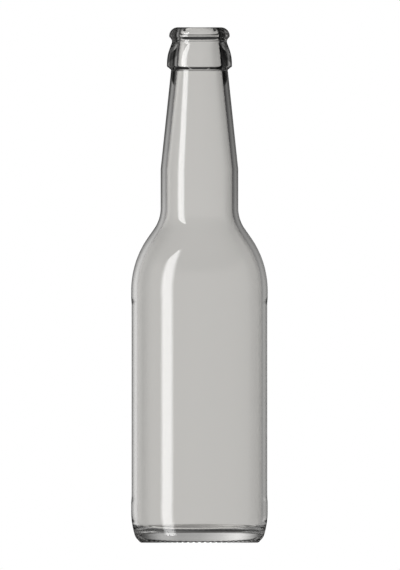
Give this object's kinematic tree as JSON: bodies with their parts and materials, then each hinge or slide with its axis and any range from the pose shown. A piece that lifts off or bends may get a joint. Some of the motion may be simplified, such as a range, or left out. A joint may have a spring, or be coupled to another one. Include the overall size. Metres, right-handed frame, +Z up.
{
  "type": "long-neck glass bottle",
  "caption": "Empty open bottle of clear glass: long tapering neck with a crown finish, round shoulder, set-back label panel and knurled foot.",
  "frame": {"origin": "middle of the base, on the surface that the bottle stands on", "axes": "+Z up along the axis that the bottle is turned about; +X and +Y lie level and are alike, because the bottle is round"},
  "size_m": [0.0606, 0.0606, 0.229],
  "materials": {
    "glass": "clear flint glass with a slight grey cast, smooth and glossy"
  },
  "bodies": {
    "root": {"glass_bottle": "glass"}
  },
  "joints": []
}
